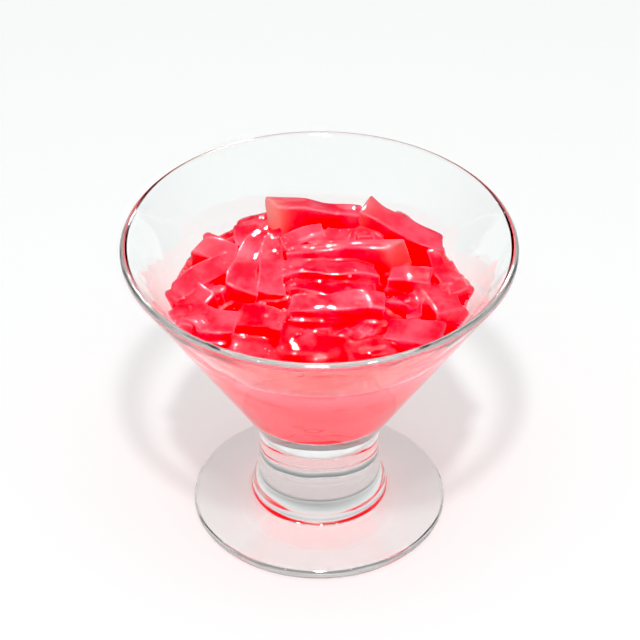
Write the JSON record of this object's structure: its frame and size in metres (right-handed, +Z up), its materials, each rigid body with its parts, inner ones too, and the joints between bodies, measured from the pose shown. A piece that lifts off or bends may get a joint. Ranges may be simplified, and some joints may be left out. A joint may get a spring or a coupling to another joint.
{
  "type": "jelly strips in syrup in a dessert glass",
  "caption": "Clear footed dessert glass with a conical bowl, filled with red syrup and heaped with cut strips of translucent red jelly.",
  "frame": {"origin": "on the glass's axis, on the surface the foot stands on", "axes": "+Z up along the glass's axis; -Y is the front side, +X is to the right seen from the front"},
  "size_m": [0.11, 0.11, 0.0922],
  "materials": {
    "clear_glass": "clear pressed glass, smooth and glossy",
    "red_syrup": "clear red syrup, wet and glossy",
    "red_jelly": "translucent pink-red jelly, wet and glossy"
  },
  "bodies": {
    "root": {"dessert_glass": "clear_glass", "syrup": "red_syrup", "jelly_heap": "red_jelly"}
  },
  "joints": []
}
